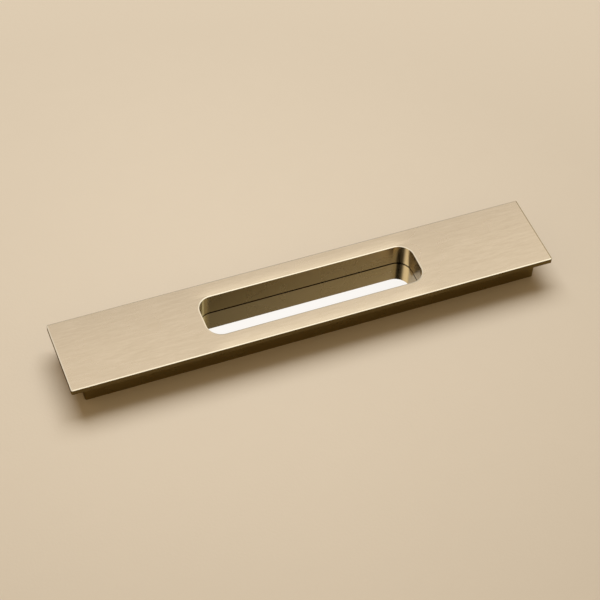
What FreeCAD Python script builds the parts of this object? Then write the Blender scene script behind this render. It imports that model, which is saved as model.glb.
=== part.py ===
import FreeCAD, Part
import os
import Sketcher

# Concealed cabinet handle: a flat bar let into a door front, with a blind finger pocket.
#
# The housing is one piece of metal. A thin face plate covers the edge of the mortise, and a narrower
# body under it fills the mortise. A window with round corners is milled through both. A polished floor
# plate lies in a rebate in the back and closes the pocket, held by four small countersunk screws. Two
# tapped holes in the back take the screws that come through the door from behind.
#
# The handle lies on its back. X runs along it, Z points out of the door, and the origin is at the
# middle of the back face. Sizes are in millimetres.

SIZES = [
    ("plate_length", 200.0, "face plate, end to end"),
    ("plate_width", 34.0, "face plate, side to side"),
    ("plate_thickness", 2.4, "face plate"),
    ("plate_corner", 0.6, "radius of the face plate's four corners"),
    ("edge_run", 0.45, "break on the edges of the face, along the face"),
    ("edge_fall", 0.16, "break on the edges of the face, down the side"),
    ("end_overhang", 5.7, "face plate past the body, each end"),
    ("side_overhang", 3.1, "face plate past the body, each side"),
    ("body_depth", 9.5, "body under the face plate"),
    ("body_corner", 0.8, "radius of the body's four corners"),
    ("body_lead", 0.1, "chamfer that leads the body into the mortise"),
    ("window_length", 90.3, "finger window, end to end"),
    ("window_corner", 6.1, "radius of the window's corners, the milling cutter's"),
    ("window_offset", 3.0, "window's middle from the plate's middle, towards +X"),
    ("joint_height", 0.3, "open joint between the pocket's wall and the floor plate"),
    ("joint_reach", 0.6, "open joint, deep from the wall"),
    ("floor_thickness", 1.6, "floor plate"),
    ("floor_inset", 0.3, "back of the floor plate inside the back of the body"),
    ("floor_end_lap", 9.5, "floor plate past the window, each end"),
    ("floor_side_lap", 2.2, "floor plate past the window, each side"),
    ("floor_rim", 1.8, "body left beside the rebate, each side"),
    ("floor_corner", 2.0, "radius of the floor plate's corners"),
    ("floor_gap", 0.1, "gap round the floor plate in its rebate"),
    ("floor_break", 0.2, "chamfer on the back edge of the floor plate"),
    ("screw_thread", 2.5, "thread of the floor screws"),
    ("screw_length", 5.0, "floor screw, over all"),
    ("screw_head", 4.7, "floor screw's head, across"),
    ("screw_head_rim", 0.2, "straight rim of the head"),
    ("screw_sink", 0.1, "head inside the back of the floor plate"),
    ("screw_angle", 90.0, "countersink, whole angle in degrees"),
    ("screw_tip", 0.3, "chamfer at the end of the thread"),
    ("screw_from_window", 4.8, "screws from the ends of the window"),
    ("screw_spacing", 12.0, "between the two screws at one end"),
    ("screw_passing", 0.1, "room round the screw in the floor plate"),
    ("thread_gap", 0.05, "room round the screw's thread in the housing"),
    ("screw_tip_room", 0.8, "tapped hole past the end of the screw"),
    ("drive_length", 2.4, "cross slot in the screw's head, tip to tip"),
    ("drive_width", 0.5, "cross slot, across"),
    ("drive_depth", 0.7, "cross slot, deep"),
    ("fixing_inset", 20.0, "fixing holes from the ends of the face plate, 160 mm apart"),
    ("fixing_core", 3.3, "fixing hole, core of an M4 thread"),
    ("fixing_mouth", 4.3, "lead-in at the mouth of the fixing hole, across"),
    ("fixing_depth", 8.5, "fixing hole, deep"),
]

# Places that several features share are worked out once, in cells of their own.
PLACES = [
    ("face_height", "body_depth + plate_thickness", "the face above the back"),
    ("body_length", "plate_length - 2 * end_overhang", "body, end to end"),
    ("body_width", "plate_width - 2 * side_overhang", "body, side to side"),
    ("rebate_depth", "floor_inset + floor_thickness", "top of the floor plate above the back"),
    ("floor_length", "window_length + 2 * floor_end_lap", "floor plate, end to end"),
    ("floor_width", "body_width - 2 * (floor_rim + floor_gap)", "floor plate, side to side"),
    ("window_width", "floor_width - 2 * floor_side_lap", "finger window, side to side"),
    ("screw_x", "window_length / 2 + screw_from_window", "screws from the window's middle, along X"),
    ("screw_y", "screw_spacing / 2", "screws from the middle line"),
    ("screw_foot", "floor_inset + screw_sink", "face of the screw's head above the back"),
    ("fixing_x", "plate_length / 2 - fixing_inset", "fixing holes from the middle of the plate"),
    ("screw_cone", "(screw_head - screw_thread) / 2 / tan(screw_angle * 1deg / 2)", "cone of the head"),
]

doc = FreeCAD.newDocument("concealed_handle")
sheet = doc.addObject("Spreadsheet::Sheet", "Sizes")


def fill_sheet():
    """Write each size, and each place worked out from them, into a cell with its alias."""
    rows = [(alias, str(value), note) for alias, value, note in SIZES]
    rows += [(alias, "=" + formula, note) for alias, formula, note in PLACES]
    for row, (alias, content, note) in enumerate(rows, 1):
        sheet.set(f"A{row}", note)
        sheet.set(f"B{row}", content)
        sheet.setAlias(f"B{row}", alias)
    doc.recompute()


def new_body(label):
    body = doc.addObject("PartDesign::Body", label)
    body.Label = label
    return body


def flat_sketch(body, name, role="XY_Plane", middle="0", height="0"):
    """An empty sketch on one of the body's own planes, moved along X and up from it."""
    sketch = body.newObject("Sketcher::SketchObject", name)
    plane = next(feature for feature in body.Origin.OriginFeatures if feature.Role == role)
    sketch.AttachmentSupport = [(plane, "")]
    sketch.MapMode = "FlatFace"
    sketch.setExpression("AttachmentOffset.Base.x", middle)
    sketch.setExpression("AttachmentOffset.Base.z", height)
    return sketch


def bind(sketch, constraint, name, formula):
    """Add a dimension to a sketch and tie it to the sheet."""
    index = sketch.addConstraint(constraint)
    sketch.renameConstraint(index, name)
    sketch.setExpression("Constraints." + name, formula)


def rectangle(body, name, length, width, middle="0", height="0"):
    """A rectangle centred on its sketch's origin."""
    sketch = flat_sketch(body, name, middle=middle, height=height)
    half_x = float(sketch.evalExpression(length)) / 2
    half_y = float(sketch.evalExpression(width)) / 2
    corners = [
        FreeCAD.Vector(-half_x, -half_y, 0),
        FreeCAD.Vector(half_x, -half_y, 0),
        FreeCAD.Vector(half_x, half_y, 0),
        FreeCAD.Vector(-half_x, half_y, 0),
    ]
    for side in range(4):
        line = Part.LineSegment(corners[side], corners[(side + 1) % 4])
        sketch.addGeometry(line, False)
    for side in range(4):
        sketch.addConstraint(Sketcher.Constraint("Coincident", side, 2, (side + 1) % 4, 1))
        direction = "Horizontal" if side % 2 == 0 else "Vertical"
        sketch.addConstraint(Sketcher.Constraint(direction, side))
    sketch.addConstraint(Sketcher.Constraint("Symmetric", 0, 1, 2, 1, -1, 1))
    bind(sketch, Sketcher.Constraint("DistanceX", 0, 1, 0, 2, 2 * half_x), "length", length)
    bind(sketch, Sketcher.Constraint("DistanceY", 1, 1, 1, 2, 2 * half_y), "width", width)
    return sketch


def circles(body, name, places, middle="0", height="0"):
    """Circles for drilled holes: each place is two signs and two formulas, from the origin."""
    sketch = flat_sketch(body, name, middle=middle, height=height)
    for index, (sign_x, sign_y, x, y) in enumerate(places):
        x_value = float(sketch.evalExpression(x))
        y_value = float(sketch.evalExpression(y))
        centre = FreeCAD.Vector(sign_x * x_value, sign_y * y_value, 0)
        sketch.addGeometry(Part.Circle(centre, FreeCAD.Vector(0, 0, 1), 1.0), False)
        sketch.addConstraint(Sketcher.Constraint("Radius", index, 1.0))
        ends = (-1, 1, index, 3) if sign_x > 0 else (index, 3, -1, 1)
        bind(sketch, Sketcher.Constraint("DistanceX", *ends, x_value), f"x{index}", x)
        if sign_y == 0:
            sketch.addConstraint(Sketcher.Constraint("PointOnObject", index, 3, -1))
            continue
        ends = (-1, 1, index, 3) if sign_y > 0 else (index, 3, -1, 1)
        bind(sketch, Sketcher.Constraint("DistanceY", *ends, y_value), f"y{index}", y)
    return sketch


def half_section(body, name, points):
    """A closed outline beside the Z axis, from pairs of formulas: out from the axis, and up."""
    sketch = flat_sketch(body, name, "XZ_Plane")
    values = [tuple(float(sketch.evalExpression(formula)) for formula in point) for point in points]
    last = len(points) - 1
    for index, (out, up) in enumerate(values):
        after = values[0 if index == last else index + 1]
        line = Part.LineSegment(FreeCAD.Vector(out, up, 0), FreeCAD.Vector(after[0], after[1], 0))
        sketch.addGeometry(line, False)
    for index, (out, up) in enumerate(values):
        after = 0 if index == last else index + 1
        sketch.addConstraint(Sketcher.Constraint("Coincident", index, 2, after, 1))
        if out == 0:
            sketch.addConstraint(Sketcher.Constraint("PointOnObject", index, 1, -2))
        else:
            across = Sketcher.Constraint("DistanceX", -1, 1, index, 1, out)
            bind(sketch, across, f"out{index}", points[index][0])
        if up == 0:
            sketch.addConstraint(Sketcher.Constraint("PointOnObject", index, 1, -1))
        else:
            rise = Sketcher.Constraint("DistanceY", -1, 1, index, 1, up)
            bind(sketch, rise, f"up{index}", points[index][1])
    return sketch


def pad(body, name, sketch, thickness):
    feature = body.newObject("PartDesign::Pad", name)
    feature.Profile = sketch
    feature.setExpression("Length", thickness)
    doc.recompute()
    return feature


def pocket(body, name, sketch, depth=None, upwards=False):
    """Cut down, or upwards, to a depth or right through, and see that metal went."""
    before = body.Shape.Volume
    feature = body.newObject("PartDesign::Pocket", name)
    feature.Profile = sketch
    feature.Reversed = upwards
    if depth is None:
        feature.Type = "ThroughAll"
    else:
        feature.setExpression("Length", depth)
    doc.recompute()
    if not body.Shape.Volume < before:
        raise RuntimeError(f"{name} cut nothing")
    return feature


def drill(body, name, sketch, diameter, depth=None, mouth=None, angle=None):
    """Drill upwards from the sketch, with a countersunk mouth where one is given."""
    before = body.Shape.Volume
    feature = body.newObject("PartDesign::Hole", name)
    feature.Profile = sketch
    doc.recompute()
    feature.Reversed = True
    feature.ThreadType = "None"
    feature.setExpression("Diameter", diameter)
    if depth is None:
        feature.DepthType = "ThroughAll"
    else:
        feature.DepthType = "Dimension"
        feature.DrillPoint = "Angled"
        feature.setExpression("Depth", depth)
    if mouth is not None:
        feature.HoleCutType = "Countersink"
        feature.HoleCutCustomValues = True
        feature.setExpression("HoleCutDiameter", mouth)
        feature.setExpression("HoleCutCountersinkAngle", angle)
    doc.recompute()
    if not body.Shape.Volume < before:
        raise RuntimeError(f"{name} cut nothing")
    return feature


def upright_edges(feature, low, high):
    """Names of the straight upright edges that run between two heights."""
    names = []
    for number, edge in enumerate(feature.Shape.Edges, 1):
        box = edge.BoundBox
        upright = box.XLength < 1e-6 and box.YLength < 1e-6
        if upright and abs(box.ZMin - low) < 1e-6 and abs(box.ZMax - high) < 1e-6:
            names.append(f"Edge{number}")
    return names


def loop_edges(feature, height, facing, outer):
    """Names of the edges round a level face: its outer loop, or the loops of its openings."""
    shape = feature.Shape
    level = []
    for face in shape.Faces:
        flat = face.BoundBox.ZLength < 1e-6 and abs(face.BoundBox.ZMin - height) < 1e-6
        if flat and face.normalAt(0, 0).z * facing > 0:
            level.append(face)
    face = max(level, key=lambda candidate: candidate.BoundBox.XLength)
    wires = [wire for wire in face.Wires if wire.isSame(face.OuterWire) == outer]
    wanted = [edge for wire in wires for edge in wire.Edges]
    names = []
    for number, edge in enumerate(shape.Edges, 1):
        if any(edge.isSame(other) for other in wanted):
            names.append(f"Edge{number}")
    return names


def dress(body, kind, name, feature, edges, size, second=None):
    """Round or chamfer some edges of the last feature, a chamfer by one size or by two."""
    dressed = body.newObject("PartDesign::" + kind, name)
    dressed.Base = (feature, edges)
    dressed.setExpression("Radius" if kind == "Fillet" else "Size", size)
    if second is not None:
        dressed.ChamferType = "Two distances"
        dressed.setExpression("Size2", second)
    doc.recompute()
    return dressed


def size_of(alias):
    return float(sheet.get(alias))


def make_housing():
    """Body and face plate in one piece, with the window, the rebate and the tapped holes."""
    body = new_body("housing")
    top = size_of("face_height")
    depth = size_of("body_depth")
    seat = size_of("rebate_depth")

    outline = rectangle(body, "body_outline", "Sizes.body_length", "Sizes.body_width")
    block = pad(body, "body_block", outline, "Sizes.body_depth")
    corners = upright_edges(block, 0, depth)
    dress(body, "Fillet", "body_corners", block, corners, "Sizes.body_corner")

    outline = rectangle(
        body, "plate_outline", "Sizes.plate_length", "Sizes.plate_width", height="Sizes.body_depth"
    )
    plate = pad(body, "face_plate", outline, "Sizes.plate_thickness")
    corners = upright_edges(plate, depth, top)
    dress(body, "Fillet", "plate_corners", plate, corners, "Sizes.plate_corner")

    outline = rectangle(
        body,
        "window_outline",
        "Sizes.window_length",
        "Sizes.window_width",
        middle="Sizes.window_offset",
        height="Sizes.face_height",
    )
    window = pocket(body, "finger_window", outline)
    corners = upright_edges(window, 0, top)
    dress(body, "Fillet", "window_corners", window, corners, "Sizes.window_corner")

    outline = rectangle(
        body,
        "rebate_outline",
        "Sizes.floor_length + 2 * Sizes.floor_gap",
        "Sizes.floor_width + 2 * Sizes.floor_gap",
        middle="Sizes.window_offset",
    )
    rebate = pocket(body, "floor_rebate", outline, "Sizes.rebate_depth", upwards=True)
    corners = upright_edges(rebate, 0, seat)
    rebate = dress(
        body, "Fillet", "rebate_corners", rebate, corners, "Sizes.floor_corner + Sizes.floor_gap"
    )

    outline = rectangle(
        body,
        "joint_outline",
        "Sizes.window_length + 2 * Sizes.joint_reach",
        "Sizes.window_width + 2 * Sizes.joint_reach",
        middle="Sizes.window_offset",
        height="Sizes.rebate_depth",
    )
    joint = pocket(body, "open_joint", outline, "Sizes.joint_height", upwards=True)
    corners = upright_edges(joint, seat, seat + size_of("joint_height"))
    joint_corner = "Sizes.window_corner + Sizes.joint_reach"
    joint = dress(body, "Fillet", "joint_corners", joint, corners, joint_corner)

    back = loop_edges(joint, 0, -1, outer=True)
    lead = dress(body, "Chamfer", "body_lead_in", joint, back, "Sizes.body_lead")
    rim = loop_edges(lead, top, 1, outer=False)
    broken = dress(body, "Chamfer", "window_rim", lead, rim, "Sizes.edge_run", "Sizes.edge_fall")
    edge = loop_edges(broken, top, 1, outer=True)
    dress(body, "Chamfer", "plate_edge", broken, edge, "Sizes.edge_run", "Sizes.edge_fall")

    drill(
        body,
        "floor_screw_holes",
        screw_centres(body, "Sizes.rebate_depth"),
        "Sizes.screw_thread + 2 * Sizes.thread_gap",
        "Sizes.screw_foot + Sizes.screw_length + Sizes.screw_tip_room - Sizes.rebate_depth",
    )
    ends = [(-1, 0, "Sizes.fixing_x", "0"), (1, 0, "Sizes.fixing_x", "0")]
    drill(
        body,
        "fixing_holes",
        circles(body, "fixing_centres", ends),
        "Sizes.fixing_core",
        "Sizes.fixing_depth",
        "Sizes.fixing_mouth",
        "Sizes.screw_angle",
    )
    return body


def screw_centres(body, height):
    """The four floor screws' places, about the middle of the window."""
    signs = [(-1, -1), (-1, 1), (1, -1), (1, 1)]
    places = [(x, y, "Sizes.screw_x", "Sizes.screw_y") for x, y in signs]
    return circles(body, "screw_centres", places, middle="Sizes.window_offset", height=height)


def make_floor_plate():
    """The polished plate that closes the pocket, countersunk from behind for its screws."""
    body = new_body("floor_plate")
    outline = rectangle(
        body,
        "floor_outline",
        "Sizes.floor_length",
        "Sizes.floor_width",
        middle="Sizes.window_offset",
        height="Sizes.floor_inset",
    )
    sheet_metal = pad(body, "floor_sheet", outline, "Sizes.floor_thickness")
    corners = upright_edges(sheet_metal, size_of("floor_inset"), size_of("rebate_depth"))
    plate = dress(body, "Fillet", "floor_corners", sheet_metal, corners, "Sizes.floor_corner")
    back = loop_edges(plate, size_of("floor_inset"), -1, outer=True)
    dress(body, "Chamfer", "floor_back_edge", plate, back, "Sizes.floor_break")
    drill(
        body,
        "floor_countersinks",
        screw_centres(body, "Sizes.floor_inset"),
        "Sizes.screw_thread + 2 * Sizes.screw_passing",
        mouth="Sizes.screw_head"
        " + 2 * (Sizes.screw_head_rim + Sizes.screw_sink) * tan(Sizes.screw_angle * 1deg / 2)",
        angle="Sizes.screw_angle",
    )
    return body


def make_floor_screw(label, sign_x, sign_y):
    """A countersunk screw with a cross slot, head down, its cone on the floor plate's."""
    body = new_body(label)
    head = "Sizes.screw_head / 2"
    shank = "Sizes.screw_thread / 2"
    outline = half_section(
        body,
        "screw_outline",
        [
            ("0", "0"),
            (head, "0"),
            (head, "Sizes.screw_head_rim"),
            (shank, "Sizes.screw_head_rim + Sizes.screw_cone"),
            (shank, "Sizes.screw_length - Sizes.screw_tip"),
            (shank + " - Sizes.screw_tip", "Sizes.screw_length"),
            ("0", "Sizes.screw_length"),
        ],
    )
    turned = body.newObject("PartDesign::Revolution", "screw_turned")
    turned.Profile = outline
    turned.ReferenceAxis = (outline, ["V_Axis"])
    turned.Angle = 360.0
    doc.recompute()

    slot = rectangle(body, "slot_along", "Sizes.drive_length", "Sizes.drive_width")
    pocket(body, "drive_along", slot, "Sizes.drive_depth", upwards=True)
    slot = rectangle(body, "slot_across", "Sizes.drive_width", "Sizes.drive_length")
    pocket(body, "drive_across", slot, "Sizes.drive_depth", upwards=True)

    body.setExpression("Placement.Base.x", f"Sizes.window_offset + {sign_x} * Sizes.screw_x")
    body.setExpression("Placement.Base.y", f"{sign_y} * Sizes.screw_y")
    body.setExpression("Placement.Base.z", "Sizes.screw_foot")
    return body


def make_floor_screws():
    """One screw at each corner of the floor plate, named by where it sits."""
    screws = []
    for end, sign_x in (("left", -1), ("right", 1)):
        for side, sign_y in (("near", -1), ("far", 1)):
            screws.append(make_floor_screw(f"floor_screw_{end}_{side}", sign_x, sign_y))
    return screws


def check_features():
    """Stop if any feature failed quietly."""
    for feature in doc.Objects:
        if "Invalid" in feature.State or "Error" in feature.State:
            raise RuntimeError(f"{feature.Label} failed: {feature.State}")


def check_part(body):
    """Stop unless the sub-part is one sound solid."""
    shape = body.Shape
    if shape.isNull() or not shape.isValid() or len(shape.Solids) != 1:
        raise RuntimeError(f"{body.Label} isn't one valid solid")
    box = shape.BoundBox
    print(
        f"{body.Label}: {shape.Volume:.1f} mm3,"
        f" x {box.XMin:.2f} to {box.XMax:.2f},"
        f" y {box.YMin:.2f} to {box.YMax:.2f},"
        f" z {box.ZMin:.2f} to {box.ZMax:.2f}"
    )


fill_sheet()
sub_parts = [make_housing(), make_floor_plate()] + make_floor_screws()
doc.recompute()
check_features()
for sub_part in sub_parts:
    check_part(sub_part)

os.makedirs("parts", exist_ok=True)
for sub_part in sub_parts:
    sub_part.Shape.exportStep(f"parts/{sub_part.Label}.step")
print(f"{len(sub_parts)} sub-parts written")
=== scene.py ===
# %% [markdown]
# # A concealed cabinet handle in satin champagne
#
# The handle is a flat metal bar that is let into a door front, so that only a thin face plate shows.
# Fingers go into a blind pocket in the middle, whose floor is a strip of metal polished like a mirror.
# This lesson dresses the exact model of the handle: the shapes come from it as they are, and what is
# made here is the finish of each surface, the table it lies on, the light and the camera.
#
# The model is loaded first. Its pieces stay where they are, and the lesson asks them for its places
# where it can.

# %% Load the handle
import math

import bpy
from mathutils import Matrix, Vector


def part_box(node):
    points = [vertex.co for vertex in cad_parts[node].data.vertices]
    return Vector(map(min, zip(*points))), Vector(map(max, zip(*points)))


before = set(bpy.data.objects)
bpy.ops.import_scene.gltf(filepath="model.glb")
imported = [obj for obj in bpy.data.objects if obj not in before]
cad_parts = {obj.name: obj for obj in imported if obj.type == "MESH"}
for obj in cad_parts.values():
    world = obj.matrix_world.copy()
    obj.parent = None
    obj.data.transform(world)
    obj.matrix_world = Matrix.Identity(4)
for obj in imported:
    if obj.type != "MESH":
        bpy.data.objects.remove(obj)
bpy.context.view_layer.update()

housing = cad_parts["housing"]
floor_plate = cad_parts["floor_plate"]
screws = [node for name, node in sorted(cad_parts.items()) if name.startswith("floor_screw")]
low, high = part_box("housing")
print("housing, in mm:", [round(1000 * side, 2) for side in high - low])

# %% [markdown]
# ## The camera
#
# The photograph looks down on the handle from its front left with a long lens, so its edges stay
# almost parallel. A camera is easiest to place as a photographer does it: the point it looks at, the
# way round and up to it, how far away it stands, and a small tilt of the picture.
#
# Blender keeps a camera's place and turn in one matrix. Its columns are the camera's right, up and
# back directions in the room.

# %% Place the camera
SENSOR_WIDTH = 36.0
FOCAL_LENGTH = 109.8
AIM = Vector((-0.00263, -0.00184, 0.00963))
AROUND = math.radians(-23.26)
ABOVE = math.radians(49.71)
TILT = math.radians(2.94)
DISTANCE = 0.7186

back = Vector((math.sin(AROUND) * math.cos(ABOVE), -math.cos(AROUND) * math.cos(ABOVE), math.sin(ABOVE)))
level = Vector((0, 0, 1)).cross(back).normalized()
upright = back.cross(level)
right = level * math.cos(TILT) + upright * math.sin(TILT)
up = upright * math.cos(TILT) - level * math.sin(TILT)

camera_data = bpy.data.cameras.new("product_camera")
camera_data.sensor_width = SENSOR_WIDTH
camera_data.lens = FOCAL_LENGTH
camera = bpy.data.objects.new("product_camera", camera_data)
bpy.context.scene.collection.objects.link(camera)
turn = Matrix((right, up, back)).transposed().to_4x4()
camera.matrix_world = Matrix.Translation(AIM + DISTANCE * back) @ turn
bpy.context.scene.camera = camera
print("camera stands at, in mm:", [round(1000 * side) for side in camera.matrix_world.translation])

# %% [markdown]
# ## Small helpers for shader trees
#
# A shader tree is nodes and links. Three helpers keep the recipes below short: `put` adds a node with
# its settings, `fill` gives one input a link or a plain value, and `feed` does so for several inputs
# by name.


# %% Put, fill and feed
def put(tree, kind, **settings):
    """A new shader node with its settings."""
    node = tree.nodes.new("ShaderNode" + kind)
    for name, value in settings.items():
        setattr(node, name, value)
    return node


def fill(tree, socket, value):
    """Link an input to another node's output, or set it to a plain value."""
    if isinstance(value, bpy.types.NodeSocket):
        tree.links.new(value, socket)
    else:
        socket.default_value = value


def feed(tree, node, **inputs):
    """Fill inputs by name, with spaces written as underscores."""
    for name, value in inputs.items():
        fill(tree, node.inputs[name.replace("_", " ")], value)
    return node


print("helpers for nodes ready")

# %% [markdown]
# Masks and heights are sums and products of numbers, and each step is a Math node of its own. With
# names for the four steps that come up most, a recipe reads like the sum that it is. A straight ramp
# turns a number into 0 before one place, 1 after another, and something between them on the way.


# %% Sums, products and a straight ramp
def math_of(tree, operation, first, second=0.0):
    """One arithmetic step, and its result."""
    node = put(tree, "Math", operation=operation)
    fill(tree, node.inputs[0], first)
    fill(tree, node.inputs[1], second)
    return node.outputs["Value"]


def times(tree, first, second):
    return math_of(tree, "MULTIPLY", first, second)


def plus(tree, first, second):
    return math_of(tree, "ADD", first, second)


def minus(tree, first, second):
    return math_of(tree, "SUBTRACT", first, second)


def without_sign(tree, value):
    return math_of(tree, "ABSOLUTE", value)


def straight_of(tree, value, start, end, low_value=0.0, high_value=1.0):
    """A straight step of a value from one number to another, held beyond its ends."""
    node = put(tree, "MapRange", interpolation_type="LINEAR", clamp=True)
    feed(tree, node, Value=value, From_Min=start, From_Max=end, To_Min=low_value, To_Max=high_value)
    return node.outputs["Result"]


print("helpers for numbers ready")

# %% [markdown]
# ## The room that the metal mirrors
#
# Metal has no colour of its own to show: it shows the room, tinted. So the room decides how it looks.
# It was worked out backwards from the photograph, by asking where each surface of the handle looks to:
#
# - The mirror floor and the flat face look to a white panel behind the handle, half way up.
# - The strips beside the window and the broken edges look overhead and to the right, and are brighter.
# - The window's left rim looks low to the right, where a paler light stands.
# - The pocket's far wall looks back over the camera, where the room is dim and warm.
#
# Two numbers describe a direction. The angle goes over the top in degrees: 0 at the horizon behind the
# handle, 90 straight up, 180 at the horizon behind the camera. The second number says how far the
# direction leans to the left or the right, from -1 to 1. Each light has a list of (place, brightness)
# for either number, and the two are multiplied, which gives a soft patch of light.

# %% Lights of the room
PANEL_TINT = (1.0, 0.985, 0.96)
PANEL_OVER = [
    (0, 0.50), (12, 0.56), (25, 0.66), (38, 0.92), (50, 1.00), (56, 1.02), (64, 1.06), (75, 1.05),
    (88, 1.02), (98, 0.98), (106, 0.50), (112, 0.10), (116, 0.0), (180, 0.0),
]
PANEL_ACROSS = [
    (-1.0, 0.4), (-0.8, 0.95), (-0.65, 1.40), (-0.5, 0.88), (-0.3, 0.92), (-0.1, 1.0), (0.28, 1.0),
    (0.38, 0.94), (0.45, 0.88), (0.65, 0.6), (1.0, 0.4),
]
OVERHEAD_TINT = (0.88, 0.985, 0.98)
OVERHEAD_OVER = [
    (0, 0.0), (54, 0.0), (64, 0.25), (75, 0.40), (88, 0.48), (98, 0.43), (106, 0.0), (180, 0.0),
]
OVERHEAD_ACROSS = [(-1.0, 0.0), (0.06, 0.0), (0.15, 1.0), (0.48, 1.0), (0.62, 1.5), (1.0, 1.5)]
SIDE_TINT = (1.0, 0.985, 0.96)
SIDE_OVER = [(0, 0.5), (20, 0.6), (36, 0.75), (50, 0.5), (64, 0.1), (75, 0.0), (180, 0.0)]
SIDE_ACROSS = [(-1.0, 0.0), (0.35, 0.0), (0.65, 1.0), (1.0, 1.0)]
FILL_TINT = (1.0, 0.90, 0.66)
FILL_OVER = [
    (0, 0.0), (88, 0.0), (98, 0.08), (108, 0.18), (116, 0.32), (124, 0.42), (129, 0.36), (134, 0.24),
    (142, 0.36), (150, 0.66), (162, 0.62), (180, 0.50),
]
FILL_ACROSS = [
    (-1.0, 0.5), (-0.7, 0.22), (-0.52, 0.12), (-0.36, 0.0), (-0.26, 0.0), (-0.17, 0.25), (-0.09, 1.0),
    (0.33, 1.0), (0.45, 1.6), (0.65, 2.0), (1.0, 1.6),
]
ROOM_LIGHTS = {
    "panel": (PANEL_OVER, PANEL_ACROSS, PANEL_TINT),
    "overhead": (OVERHEAD_OVER, OVERHEAD_ACROSS, OVERHEAD_TINT),
    "side": (SIDE_OVER, SIDE_ACROSS, SIDE_TINT),
    "fill": (FILL_OVER, FILL_ACROSS, FILL_TINT),
}
print("lights of the room:", ", ".join(ROOM_LIGHTS))

# %% [markdown]
# A Color Ramp can follow such a list, one stop for each entry. Its first and last stops are there from
# the start. Adding a stop can move them in the list, so they are asked for again at the end.

# %% One soft light by direction
OVER_ENDS = (0.0, 180.0)
ACROSS_ENDS = (-1.0, 1.0)


def grey(brightness):
    return (brightness, brightness, brightness, 1.0)


def profile_of(tree, value, entries, low_end, high_end):
    """Brightness that follows a list of places between two ends."""
    node = put(tree, "ValToRGB")
    fill(tree, node.inputs["Fac"], straight_of(tree, value, low_end, high_end))
    stops = node.color_ramp.elements
    for place, brightness in entries[1:-1]:
        stops.new((place - low_end) / (high_end - low_end)).color = grey(brightness)
    stops[0].color = grey(entries[0][1])
    stops[-1].color = grey(entries[-1][1])
    return node.outputs["Color"]


def vector_of(tree, operation, first, second):
    """One step with two colours or two directions."""
    node = put(tree, "VectorMath", operation=operation)
    fill(tree, node.inputs[0], first)
    fill(tree, node.inputs[1], second)
    return node.outputs["Vector"]


def soft_light(tree, angle, sideways, over, across, tint):
    """One soft light of the room: its brightness over the top, across, and its colour."""
    over_the_top = profile_of(tree, angle, over, *OVER_ENDS)
    from_side_to_side = profile_of(tree, sideways, across, *ACROSS_ENDS)
    shape = vector_of(tree, "MULTIPLY", over_the_top, from_side_to_side)
    return vector_of(tree, "MULTIPLY", shape, tint)


def room_colour(tree):
    """All the lights of the room together, by direction."""
    direction = put(tree, "SeparateXYZ")
    fill(tree, direction.inputs[0], put(tree, "TexCoord").outputs["Generated"])
    angle = math_of(tree, "ARCTAN2", direction.outputs["Z"], direction.outputs["Y"])
    angle = times(tree, angle, 180 / math.pi)
    room = None
    for over, across, tint in ROOM_LIGHTS.values():
        light = soft_light(tree, angle, direction.outputs["X"], over, across, tint)
        room = light if room is None else vector_of(tree, "ADD", room, light)
    return room


print("room of", len(ROOM_LIGHTS), "soft lights ready to be painted")

# %% [markdown]
# A room that is painted for metal would light the table wrongly, and behind the table it would show as
# streaks. So the world has three faces, and Light Path tells the rays apart: shiny surfaces see the
# room, matt ones get a little even light from all round, and the camera sees the table's own colour
# wherever it looks past the table. Cycles can aim rays at the bright parts of a world, but the light that
# falls on matt surfaces is the same all round here, so the sampling method is set to none.

# %% World
TABLE_COLOUR = (0.737, 0.610, 0.451, 1.0)
AROUND_LIGHT = (0.325, 0.268, 0.174, 1.0)


def background(tree, colour):
    return feed(tree, put(tree, "Background"), Color=colour, Strength=1.0).outputs[0]


def either_of(tree, choice, first, second):
    """The first shader where the choice is 0, and the second where it is 1."""
    node = put(tree, "MixShader")
    for socket, value in zip(node.inputs, (choice, first, second)):
        fill(tree, socket, value)
    return node.outputs[0]


def build_world():
    """A world with three faces: for matt surfaces, for shiny ones and for the camera."""
    world = bpy.data.worlds.new("studio")
    bpy.context.scene.world = world
    world.use_nodes = True
    world.cycles.sampling_method = "NONE"
    tree = world.node_tree
    tree.nodes.clear()
    ray = put(tree, "LightPath").outputs
    shiny = math_of(tree, "MAXIMUM", ray["Is Glossy Ray"], ray["Is Transmission Ray"])
    unseen = either_of(tree, shiny, background(tree, AROUND_LIGHT), background(tree, room_colour(tree)))
    all_rays = either_of(tree, ray["Is Camera Ray"], unseen, background(tree, TABLE_COLOUR))
    feed(tree, put(tree, "OutputWorld"), Surface=all_rays)
    return world


print("world has", len(build_world().node_tree.nodes), "nodes")

# %% [markdown]
# ## The lamp
#
# The handle's shadow falls towards the camera and a little to the left, and it is soft but short. That
# takes one very large lamp behind the handle, high up and slightly to the right. It is cooler than the
# light from all round, so the shadow is warmer than the table in the open, as in the photograph. Metal
# doesn't see this lamp, because the room has its own picture of it.
#
# The view transform is set here too, because it goes with the light: Standard shows each colour as it is
# worked out, and the lamp's power was chosen for that.

# %% Lamp
LAMP_DIRECTION = Vector((0.14, 0.574, 0.807)).normalized()
LAMP_DISTANCE = 1.6
LAMP_WIDTH = 1.6
LAMP_HEIGHT = 1.0
LAMP_COLOUR = (0.664, 0.736, 0.838)
LAMP_POWER = 38.3


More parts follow.
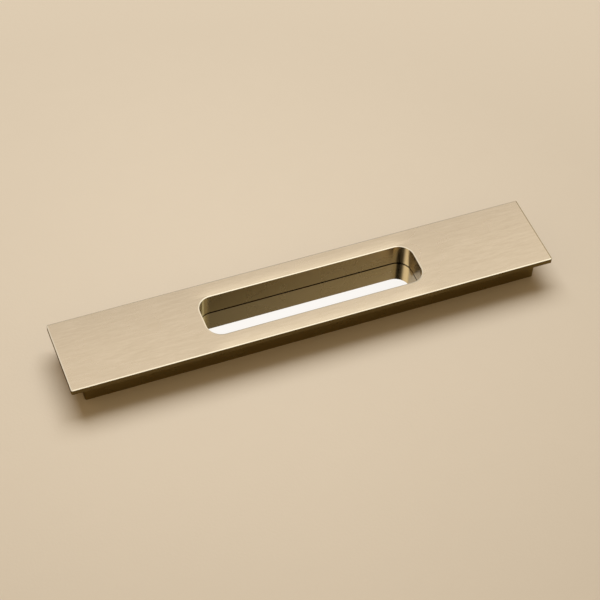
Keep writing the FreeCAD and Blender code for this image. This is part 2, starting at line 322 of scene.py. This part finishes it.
def build_lamp():
    """One large rectangle of light that faces the handle."""
    data = bpy.data.lights.new("large_lamp", "AREA")
    data.shape = "RECTANGLE"
    data.size = LAMP_WIDTH
    data.size_y = LAMP_HEIGHT
    data.energy = LAMP_POWER
    data.color = LAMP_COLOUR
    lamp = bpy.data.objects.new("large_lamp", data)
    bpy.context.scene.collection.objects.link(lamp)
    lamp.location = LAMP_DISTANCE * LAMP_DIRECTION
    lamp.rotation_euler = LAMP_DIRECTION.to_track_quat("Z", "Y").to_euler()
    lamp.visible_glossy = False


build_lamp()
bpy.context.scene.view_settings.view_transform = "Standard"
print("lamp stands", LAMP_DISTANCE, "m away and is", LAMP_WIDTH, "m wide")

# %% [markdown]
# ## The table
#
# The handle lies on a plain sheet of pale, warm card. A flat plane with a matt material is enough. The
# card is palest round the handle and a little dimmer away from it. A studio does that with a lamp close
# by, but such a lamp would bend the shadow, so here the card's colour does it. Weak clouds and flecks in
# the colour, and a fine tooth in the surface, keep it from looking like a fill.
#
# Three helpers are new: a smooth ramp, which starts and ends gently, a mix of two colours by a mask, and
# noise, which is what every uneven surface here is made of.


# %% Smooth ramps, mixed colours and noise
def ramp_of(tree, value, start, end):
    """A smooth step of a value from 0 at one number to 1 at another."""
    node = put(tree, "MapRange", interpolation_type="SMOOTHSTEP")
    feed(tree, node, Value=value, From_Min=start, From_Max=end)
    return node.outputs["Result"]


def mix_of(tree, mask, first, second):
    """The first colour where the mask is 0, and the second where it is 1."""
    node = put(tree, "Mix", data_type="RGBA")
    sockets = {socket.identifier: socket for socket in node.inputs}
    fill(tree, sockets["Factor_Float"], mask)
    fill(tree, sockets["A_Color"], first)
    fill(tree, sockets["B_Color"], second)
    return next(socket for socket in node.outputs if socket.identifier == "Result_Color")


def noise_of(tree, place, scale, detail):
    """Noise between 0 and 1: the scale says how fine it is, and the detail how rough."""
    return feed(tree, put(tree, "TexNoise"), Vector=place, Scale=scale, Detail=detail).outputs["Fac"]


print("helpers for masks and colours ready")

# %% [markdown]
# The card mixes its two colours by the distance from a point under the handle's left half, which paints a
# pool of light round the handle. Three noises of different fineness make the clouds, the flecks and the
# tooth. The plane lies a hair below the handle, because two surfaces at one height would show through
# each other.

# %% Table
TABLE_SIZE = 6.0
TABLE_GAP = 0.00002
CARD_PALE = (0.777, 0.629, 0.459, 1.0)
CARD_DIM = (0.661, 0.533, 0.385, 1.0)
PAINTED_POOL_MIDDLE = (-0.042, -0.014, 0.0)
PAINTED_POOL_REACH = 0.26
CLOUD_SCALE = 9.0
CLOUD_SHARE = 0.20
FLECK_SCALE = 110.0
FLECK_SHARE = 0.10
TOOTH_SCALE = 900.0
TOOTH_STRENGTH = 0.15
TOOTH_DEPTH = 0.0002
CARD_ROUGHNESS = 0.9
CARD_SHINE = 0.2


def build_card():
    """Pale card, a little uneven, with a pool of light painted round the handle."""
    material = bpy.data.materials.new("pale_card")
    material.use_nodes = True
    tree = material.node_tree
    place = put(tree, "TexCoord").outputs["Object"]
    clouds = noise_of(tree, place, scale=CLOUD_SCALE, detail=3.0)
    flecks = noise_of(tree, place, scale=FLECK_SCALE, detail=3.0)
    tooth = noise_of(tree, place, scale=TOOTH_SCALE, detail=2.0)
    away = put(tree, "VectorMath", operation="DISTANCE")
    fill(tree, away.inputs[0], place)
    fill(tree, away.inputs[1], PAINTED_POOL_MIDDLE)
    # painted light: a pool of light painted into the card, palest round the handle and dimmer away from
    # it
    dim = ramp_of(tree, away.outputs["Value"], 0.0, PAINTED_POOL_REACH)
    uneven = plus(tree, times(tree, clouds, CLOUD_SHARE), times(tree, flecks, FLECK_SHARE))
    colour = mix_of(tree, plus(tree, dim, uneven), CARD_PALE, CARD_DIM)
    bump = feed(tree, put(tree, "Bump"), Height=tooth, Strength=TOOTH_STRENGTH, Distance=TOOTH_DEPTH)
    surface = tree.nodes["Principled BSDF"]
    feed(tree, surface, Base_Color=colour, Roughness=CARD_ROUGHNESS, Specular_IOR_Level=CARD_SHINE)
    feed(tree, surface, Normal=bump.outputs["Normal"])
    return material


def build_table():
    """A square of card just under the handle."""
    mesh = bpy.data.meshes.new("table")
    half = TABLE_SIZE / 2
    corners = [(-half, -half, 0), (half, -half, 0), (half, half, 0), (-half, half, 0)]
    mesh.from_pydata(corners, [], [(0, 1, 2, 3)])
    mesh.materials.append(build_card())
    table = bpy.data.objects.new("table", mesh)
    bpy.context.scene.collection.objects.link(table)
    table.location.z = low.z - TABLE_GAP


build_table()
print("table is", TABLE_SIZE, "m wide")

# %% [markdown]
# ## Tool lines for every metal
#
# Each metal here has fine lines from the tool that finished it: long ones from the belt on the face,
# short ones on the walls and screws. Noise that is stretched along the lines makes them, without a
# picture and without repeating. A shader group holds it, so that every material can use it with its own
# stretch. It gives a height for bump, and a tone that lightens and darkens the metal a little. The tone
# is the mean of the fine noise and a broader one, because some passes of a tool cut deeper than others.

# %% Shader group for tool lines
BROAD_SCALE = 0.22


def new_group(name, input_name, input_kind, outputs):
    """An empty group with one input and some number outputs, and its two end nodes."""
    group = bpy.data.node_groups.new(name, "ShaderNodeTree")
    group.interface.new_socket(input_name, in_out="INPUT", socket_type=input_kind)
    for output in outputs:
        group.interface.new_socket(output, in_out="OUTPUT", socket_type="NodeSocketFloat")
    start = group.nodes.new("NodeGroupInput").outputs[input_name]
    end = group.nodes.new("NodeGroupOutput")
    return group, start, end


def build_tool_lines():
    """Fine lines: the stretch is how close they lie along each axis."""
    group, stretch, end = new_group("tool_lines", "Stretch", "NodeSocketVector", ["Height", "Tone"])
    place = vector_of(group, "MULTIPLY", put(group, "TexCoord").outputs["Object"], stretch)
    fine = noise_of(group, place, scale=1.0, detail=4.0)
    broad = noise_of(group, place, scale=BROAD_SCALE, detail=2.0)
    feed(group, end, Height=fine, Tone=times(group, plus(group, fine, broad), 0.5))
    return group


TOOL_LINES = build_tool_lines()
print("group:", TOOL_LINES.name)

# %% [markdown]
# Hands and polishing cloths leave slow clouds in which metal is a little duller or brighter. A second
# group makes them. It takes how fine the clouds are and gives a mask that a material adds to its
# roughness.

# %% Shader group for handling
HANDLING_EDGES = (0.35, 0.7)


def build_handling():
    """Clouds: 0 where the metal is as it was finished, and 1 where hands have dulled it."""
    group, fineness, end = new_group("handling", "Fineness", "NodeSocketFloat", ["Cloud"])
    place = put(group, "TexCoord").outputs["Object"]
    noise = noise_of(group, place, scale=fineness, detail=5.0)
    feed(group, end, Cloud=ramp_of(group, noise, *HANDLING_EDGES))
    return group


def use_group(tree, group, **inputs):
    """Place a group in a material with its own values, and give its outputs."""
    node = tree.nodes.new("ShaderNodeGroup")
    node.node_tree = group
    return feed(tree, node, **inputs).outputs


HANDLING = build_handling()
print("group:", HANDLING.name)

# %% [markdown]
# ## Where each finish of the housing sits
#
# The housing is one piece of metal with several finishes, and a workshop would mask it off before each
# step. Masks do the same here: 1 where a finish, a painted shade or a painted highlight goes, 0
# elsewhere. They are worked out from two things that the model gives for free, where a point lies and
# which way its surface faces. Painting them by hand would take an unwrapped mesh, and they would go
# wrong when the model changes.
#
# The pieces tell the places. The floor plate is centred under the window, and the open joint starts at
# its top, 0.3 mm high. The face plate is the top 2.4 mm of the housing. PAST_WINDOW_SIDE lies between the
# window's long sides and the body's, and PAST_WINDOW_END between its ends and the body's.

# %% Places on the housing
PLATE_THICKNESS = 0.0024
EDGE_REACH = 0.0007
PAST_WINDOW_SIDE = 0.0115
PAST_WINDOW_END = 0.09
JOINT_HEIGHT = 0.0003
JOINT_SLACK = 0.0001

floor_low, floor_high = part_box("floor_plate")
WINDOW_MIDDLE = (floor_low.x + floor_high.x) / 2
BODY_TOP = high.z - PLATE_THICKNESS
RIGHT_END = high.x - EDGE_REACH
print("middle of the window, in mm:", round(1000 * WINDOW_MIDDLE, 2))

# %% [markdown]
# Each mask answers a plain question about a point. Is its surface upright? Does it lie past the window?
# Is it on the face plate? A smooth ramp answers with something between yes and no near a limit, so that
# one finish runs into the next without a hard line. Products and differences of the answers give the
# rest: a wall is upright and not past the window, a corner is where the wall turns, and a broken edge
# slopes, so it is neither level nor upright.
#
# Each pair below says where an answer starts and where it is a full yes. It is compared with one of the
# three numbers of the surface's own direction, which go up to 1.

# %% Masks for the housing's surfaces
LEVEL = (0.90, 0.995)
UPRIGHT = (0.75, 0.35)
SLOPE_STARTS = (0.80, 0.92)
SLOPE_ENDS = (0.95, 0.985)
BEND_STARTS = (0.05, 0.3)
BEND_ENDS = (0.99, 0.94)
ACROSS_END = (0.93, 0.99)
TO_THE_RIGHT = (0.1, 0.25)


def past(tree, value, limit):
    """1 where a value is over a limit, and 0 elsewhere."""
    return math_of(tree, "GREATER_THAN", value, limit)


def build_zones(tree, place, facing):
    """The masks of the housing, by name."""
    turned = without_sign(tree, facing["X"])
    upright = ramp_of(tree, without_sign(tree, facing["Z"]), *UPRIGHT)
    past_side = past(tree, without_sign(tree, place["Y"]), PAST_WINDOW_SIDE)
    past_end = past(tree, without_sign(tree, place["X"]), PAST_WINDOW_END)
    outer = math_of(tree, "MAXIMUM", past_side, past_end)
    inner = minus(tree, 1.0, outer)
    wall = times(tree, inner, upright)
    bend = times(tree, ramp_of(tree, turned, *BEND_STARTS), ramp_of(tree, turned, *BEND_ENDS))
    corner = times(tree, bend, wall)
    across_end = ramp_of(tree, turned, *ACROSS_END)
    joint_top = floor_high.z + JOINT_HEIGHT + JOINT_SLACK
    under_joint_top = math_of(tree, "LESS_THAN", place["Z"], joint_top)
    over_floor = past(tree, place["Z"], floor_high.z - JOINT_SLACK)
    slope_starts = ramp_of(tree, facing["Z"], *SLOPE_STARTS)
    sloping = minus(tree, slope_starts, ramp_of(tree, facing["Z"], *SLOPE_ENDS))
    to_the_right = ramp_of(tree, facing["X"], *TO_THE_RIGHT)
    return {
        "belted": ramp_of(tree, facing["Z"], *LEVEL),
        "upright": upright,
        "turned": turned,
        "wall": wall,
        "across_end": across_end,
        "end_wall": times(tree, across_end, wall),
        "corner": corner,
        "straight_wall": minus(tree, wall, corner),
        "joint": times(tree, times(tree, under_joint_top, over_floor), inner),
        "edge_face": times(tree, outer, upright),
        "plate": past(tree, place["Z"], BODY_TOP),
        "broken_edge": sloping,
        "right_edge": times(tree, past(tree, place["X"], RIGHT_END), to_the_right),
    }


print("masks ready")

# %% [markdown]
# ## Colours of the housing
#
# The champagne colour of the real handle is a thin coat over pale metal. It is evenest on the face. On
# the broken edges it wears thin and the paler metal shows, and their colour is raised further to paint
# the highlight that they catch. The pocket's walls and the edge faces are painted in deeper colours than
# the
# face: painted shade. The far wall's painted shade is deepest at the left and lightest at the right. The
# broken edge at the plate's right end is painted dark, as painted shade. The open joint is a slot too
# narrow for light to come back from, and it is painted nearly black as well: painted shade.

# %% Champagne colours
CHAMPAGNE = (0.678, 0.549, 0.394, 1.0)
CHAMPAGNE_DEEP = (0.602, 0.48, 0.333, 1.0)
# painted shade: the pocket's walls and end walls are darker copies of the champagne
WALL_PAINTED_SHADE = (0.505, 0.376, 0.196, 1.0)
WALL_PAINTED_SHADE_DEEP = (0.256, 0.19, 0.090, 1.0)
END_WALL_PAINTED_SHADE = (0.36, 0.265, 0.13, 1.0)
# painted shade: the open joint is painted nearly black
JOINT_PAINTED_SHADE = (0.10, 0.042, 0.002, 1.0)
# painted shade: the outer sides of the plate and of the body are painted dark
PLATE_SIDE_PAINTED_SHADE = (0.17, 0.125, 0.056, 1.0)
BODY_SIDE_PAINTED_SHADE = (0.285, 0.225, 0.105, 1.0)
# the broken edges: worn paler metal, with the colour raised to paint their highlight
WORN_EDGE_AND_PAINTED_HIGHLIGHT = (0.80, 0.685, 0.515, 1.0)
# painted shade: the broken edge at the plate's right end is painted dark
RIGHT_EDGE_PAINTED_SHADE = (0.32, 0.245, 0.13, 1.0)
TONE_RANGE = (0.2, 0.8)
WALL_SHADE_DEEPEST_AT = -0.042
WALL_SHADE_LIGHTEST_AT = 0.042


def housing_colour(tree, place, zones, tone):
    """The champagne coat, laid on zone by zone, with painted shade on the walls, joint and sides and a
    painted highlight on the edges.
    """
    colour = mix_of(tree, ramp_of(tree, tone, *TONE_RANGE), CHAMPAGNE_DEEP, CHAMPAGNE)
    # painted shade along the far wall: deepest at its left end, lightest at its right
    wall_shade_ramp = straight_of(tree, place["X"], WALL_SHADE_DEEPEST_AT, WALL_SHADE_LIGHTEST_AT)
    wall_painted_shade = mix_of(tree, wall_shade_ramp, WALL_PAINTED_SHADE_DEEP, WALL_PAINTED_SHADE)
    wall_painted_shade = mix_of(tree, zones["across_end"], wall_painted_shade, END_WALL_PAINTED_SHADE)
    colour = mix_of(tree, zones["wall"], colour, wall_painted_shade)
    # painted shade in the open joint
    colour = mix_of(tree, zones["joint"], colour, JOINT_PAINTED_SHADE)
    # painted shade on the outer sides
    side_painted_shade = mix_of(tree, zones["plate"], BODY_SIDE_PAINTED_SHADE, PLATE_SIDE_PAINTED_SHADE)
    colour = mix_of(tree, zones["edge_face"], colour, side_painted_shade)
    # painted highlight on the broken edges, and painted shade on the right end's edge
    edge_colour = mix_of(tree, zones["right_edge"], WORN_EDGE_AND_PAINTED_HIGHLIGHT, RIGHT_EDGE_PAINTED_SHADE)
    return mix_of(tree, zones["broken_edge"], colour, edge_colour)


print("the face is", CHAMPAGNE[:3])

# %% [markdown]
# ## Gloss of the housing
#
# Roughness says how far a reflection is smeared. Satin metal lies between a mirror and chalk. The broken
# edges, the pocket's corners and its end walls, where the cutter turned slowly, are glossier, and the
# long walls a touch duller.
#
# The cutter's flank leaves upright lines on the long walls. Lines smear a reflection along one direction
# only, which Anisotropic does, and the tangent tells it which: upwards. A level face has no upward
# tangent, so there it lies across the bar, and nothing is smeared along it.

# %% Satin gloss
SATIN_ROUGHNESS = 0.24
HANDLED_ROUGHNESS = 0.05
ROUGHNESS_STEPS = {"broken_edge": -0.08, "straight_wall": 0.015, "corner": -0.055, "end_wall": -0.03}
WALL_SMEAR = 0.83


def housing_roughness(tree, zones, cloud):
    """The satin's own roughness, a little more where it was handled, and each zone's step."""
    roughness = plus(tree, times(tree, cloud, HANDLED_ROUGHNESS), SATIN_ROUGHNESS)
    for name, step in ROUGHNESS_STEPS.items():
        roughness = plus(tree, roughness, times(tree, zones[name], step))
    return roughness


def line_direction(tree, upright):
    """The tangent: upwards on upright faces, and across the bar on level ones."""
    tangent = put(tree, "CombineXYZ")
    feed(tree, tangent, Y=minus(tree, 1.0, upright), Z=upright)
    return tangent.outputs["Vector"]


print("satin roughness:", SATIN_ROUGHNESS)

# %% [markdown]
# ## The belt's rounding
#
# A belt gives a little under pressure, so a belted face is never quite flat. It falls off slowly to
# both sides, and the two narrow strips beside the window, which carry the belt alone, are rounder: the
# far one falls towards the window, and the near one towards the plate's edge. Even a tenth of a
# millimetre shows, because a tilted mirror looks at another part of the room. The fall is written as a
# height in metres, with powers of the distance, and a Bump node turns the height into tilt. The model's
# own surface stays as it is.

# %% Rounding of the face
FACE_FALL_FAR = -2.5
FACE_FALL_FAR_BESIDE = -1.15
FACE_FALL_NEAR = -0.75
BESIDE_FROM = 0.050
BESIDE_TO = 0.038
FAR_STRIP_REACH = 0.0066
FAR_STRIP_POWER = 2.7
FAR_STRIP_FALL = -335.0
NEAR_STRIP_FROM = 0.0112
NEAR_STRIP_REACH = 0.0052
NEAR_STRIP_POWER = 2.5
NEAR_STRIP_FALL = -155.0


def held(tree, value, reach):
    """A distance that starts at 0 and stops growing at its reach."""
    return math_of(tree, "MINIMUM", math_of(tree, "MAXIMUM", value, 0.0), reach)


def fall_of(tree, distance, power, amount):
    return times(tree, math_of(tree, "POWER", distance, power), amount)


def face_rounding(tree, place):
    """Height that the belt takes off the face, in metres."""
    across = place["Y"]
    along = without_sign(tree, minus(tree, place["X"], WINDOW_MIDDLE))
    beside = ramp_of(tree, along, BESIDE_FROM, BESIDE_TO)
    far_side = math_of(tree, "MAXIMUM", across, 0.0)
    near_side = math_of(tree, "MAXIMUM", times(tree, across, -1.0), 0.0)
    far_amount = straight_of(tree, beside, 0.0, 1.0, FACE_FALL_FAR, FACE_FALL_FAR_BESIDE)
    far_fall = fall_of(tree, far_side, 2.0, far_amount)
    near_fall = fall_of(tree, near_side, 2.0, FACE_FALL_NEAR)
    inwards = held(tree, minus(tree, high.y, across), FAR_STRIP_REACH)
    far_strip = fall_of(tree, inwards, FAR_STRIP_POWER, FAR_STRIP_FALL)
    outwards = held(tree, minus(tree, near_side, NEAR_STRIP_FROM), NEAR_STRIP_REACH)
    near_strip = fall_of(tree, outwards, NEAR_STRIP_POWER, NEAR_STRIP_FALL)
    strips = times(tree, plus(tree, far_strip, near_strip), beside)
    return plus(tree, plus(tree, far_fall, near_fall), strips)


print("strips beside the window are rounded over", round(1000 * FAR_STRIP_REACH, 1), "mm")

# %% [markdown]
# ## The wall's lean
#
# A long cutter bends away from its work, so a milled wall leans a little. Where it leans, the wall and
# its image in the polished floor mirror two different parts of the room. In the photograph the two differ
# clearly at the left and in the middle, and hardly at the right, so the wall leans less there. The lean
# is a height too, because a height that grows evenly up the wall is a tilt. It fades out in the corners.

# %% Lean of the pocket's wall
WALL_MIDDLE_HEIGHT = 0.0069
LEAN_MOST = -0.040
LEAN_LEAST = -0.006
LEAN_EASES = (-0.02, 0.024)
LEAN_RETURNS = (0.043, 0.035)
LEAN_ENDS = (0.3, 0.6)


def wall_lean(tree, place, zones):
    """Height that tilts the pocket's wall a little, in metres."""
    along = place["X"]
    straighter = times(tree, ramp_of(tree, along, *LEAN_EASES), ramp_of(tree, along, *LEAN_RETURNS))
    lean = straight_of(tree, straighter, 0.0, 1.0, LEAN_MOST, LEAN_LEAST)
    lean = times(tree, lean, straight_of(tree, zones["turned"], *LEAN_ENDS, 1.0, 0.0))
    height = minus(tree, place["Z"], WALL_MIDDLE_HEIGHT)
    return times(tree, times(tree, height, lean), zones["wall"])


print("wall leans by up to", abs(LEAN_MOST), "and at least", abs(LEAN_LEAST))

# %% [markdown]
# ## The champagne material
#
# Now the pieces come together in one material. Two Bump nodes stand in a row: the first bends the whole
# surface by the rounding and the lean, and the second adds the tool lines on top, a few thousandths of a
# millimetre deep. Metal seen at a low angle turns white like everything shiny. Specular Tint holds that
# back, a little in the pocket's corners and much on the edge faces, where its dark tint is painted shade.

# %% Champagne material
BELT_STRETCH = (420.0, 3400.0, 3400.0)
MILL_STRETCH = (500.0, 500.0, 90.0)
MILL_SHARE = 0.3
LINE_STRENGTH = 0.25
LINE_DEPTH = 0.00002
HANDLED_FINENESS = 60.0
GRAZING_WHITE = (1.0, 1.0, 1.0, 1.0)
GRAZING_WARM = (0.97, 0.89, 0.68, 1.0)
# the dark grazing tint of the edge faces is painted shade
GRAZING_PAINTED_SHADE = (0.32, 0.24, 0.10, 1.0)


def new_metal(name):
    """A material that is all metal, with its tree and its surface."""
    material = bpy.data.materials.new(name)
    material.use_nodes = True
    tree = material.node_tree
    surface = tree.nodes["Principled BSDF"]
    surface.inputs["Metallic"].default_value = 1.0
    return material, tree, surface


def parts_of(tree, vector):
    """The X, Y and Z of a place or a direction."""
    node = put(tree, "SeparateXYZ")
    fill(tree, node.inputs[0], vector)
    return node.outputs


def build_champagne():
    """The housing's whole finish with its painted shade and highlight: masks, shape, lines, colour, gloss
    and grazing light.
    """
    material, tree, surface = new_metal("satin_champagne")
    facing = parts_of(tree, put(tree, "NewGeometry").outputs["Normal"])
    place = parts_of(tree, put(tree, "TexCoord").outputs["Object"])
    zones = build_zones(tree, place, facing)
    belt = use_group(tree, TOOL_LINES, Stretch=BELT_STRETCH)
    mill = use_group(tree, TOOL_LINES, Stretch=MILL_STRETCH)
    cloud = use_group(tree, HANDLING, Fineness=HANDLED_FINENESS)["Cloud"]

    rounding = plus(tree, face_rounding(tree, place), wall_lean(tree, place, zones))
    shape = feed(tree, put(tree, "Bump"), Height=rounding, Strength=1.0, Distance=1.0)
    belt_lines = times(tree, belt["Height"], zones["belted"])
    lines = plus(tree, belt_lines, times(tree, mill["Height"], MILL_SHARE))
    bump = feed(tree, put(tree, "Bump"), Height=lines, Strength=LINE_STRENGTH, Distance=LINE_DEPTH)
    feed(tree, bump, Normal=shape.outputs["Normal"])

    feed(tree, surface, Base_Color=housing_colour(tree, place, zones, belt["Tone"]))
    feed(tree, surface, Roughness=housing_roughness(tree, zones, cloud), Normal=bump.outputs["Normal"])
    feed(tree, surface, Anisotropic=times(tree, zones["straight_wall"], WALL_SMEAR))
    feed(tree, surface, Tangent=line_direction(tree, zones["upright"]))
    grazing = mix_of(tree, zones["corner"], GRAZING_WHITE, GRAZING_WARM)
    # painted shade: the edge faces' grazing reflections are tinted dark
    feed(tree, surface, Specular_Tint=mix_of(tree, zones["edge_face"], grazing, GRAZING_PAINTED_SHADE))
    return material


champagne = build_champagne()
print(champagne.name, "has", len(champagne.node_tree.nodes), "nodes")

# %% [markdown]
# ## The mirror floor
#
# The floor plate is a strip of bright metal, polished before it is screwed in. A perfect mirror looks
# like a hole, so it keeps a trace of haze in slow clouds, where the polishing cloth turned.

# %% Polished floor
MIRROR = (0.964, 0.944, 0.924, 1.0)
MIRROR_HAZY = (0.950, 0.930, 0.910, 1.0)
MIRROR_ROUGHNESS = 0.015
HAZE = 0.015
POLISHED_FINENESS = 45.0


def build_mirror():
    """A mirror with a trace of haze."""
    material, tree, surface = new_metal("polished_floor")
    cloud = use_group(tree, HANDLING, Fineness=POLISHED_FINENESS)["Cloud"]
    roughness = plus(tree, times(tree, cloud, HAZE), MIRROR_ROUGHNESS)
    feed(tree, surface, Base_Color=mix_of(tree, cloud, MIRROR, MIRROR_HAZY), Roughness=roughness)
    return material


mirror = build_mirror()
print(mirror.name, "has a roughness from", MIRROR_ROUGHNESS)

# %% [markdown]
# ## The screws
#
# The four screws that hold the floor plate are plated steel, turned on a lathe and never polished. The
# same tool lines serve, stretched round the screw, with a darker and a paler grey between them.

# %% Plated screws
PLATED = (0.60, 0.59, 0.57, 1.0)
PLATED_DARK = (0.42, 0.41, 0.40, 1.0)
PLATED_TONES = (0.35, 0.65)
PLATED_ROUGHNESS = 0.32
TURNED_STRETCH = (900.0, 900.0, 3500.0)
TURNED_STRENGTH = 0.3


def build_plated():
    """Plated steel with turned lines."""
    material, tree, surface = new_metal("plated_screw")
    turned = use_group(tree, TOOL_LINES, Stretch=TURNED_STRETCH)
    colour = mix_of(tree, ramp_of(tree, turned["Tone"], *PLATED_TONES), PLATED_DARK, PLATED)
    bump = put(tree, "Bump")
    feed(tree, bump, Height=turned["Height"], Strength=TURNED_STRENGTH, Distance=LINE_DEPTH)
    feed(tree, surface, Base_Color=colour, Roughness=PLATED_ROUGHNESS, Normal=bump.outputs["Normal"])
    return material


plated = build_plated()
print(plated.name, "is for", len(screws), "screws")

# %% [markdown]
# ## Dressing the handle
#
# A material reaches an object through a slot of its mesh. Each piece here has one material, because the
# masks tell the housing's finishes and its painted shade and highlight apart, so each mesh gets one slot.


# %% Dress the pieces
def dress(node, material):
    node.data.materials.clear()
    node.data.materials.append(material)


dress(housing, champagne)
dress(floor_plate, mirror)
for screw in screws:
    dress(screw, plated)
print("dressed", 2 + len(screws), "pieces")
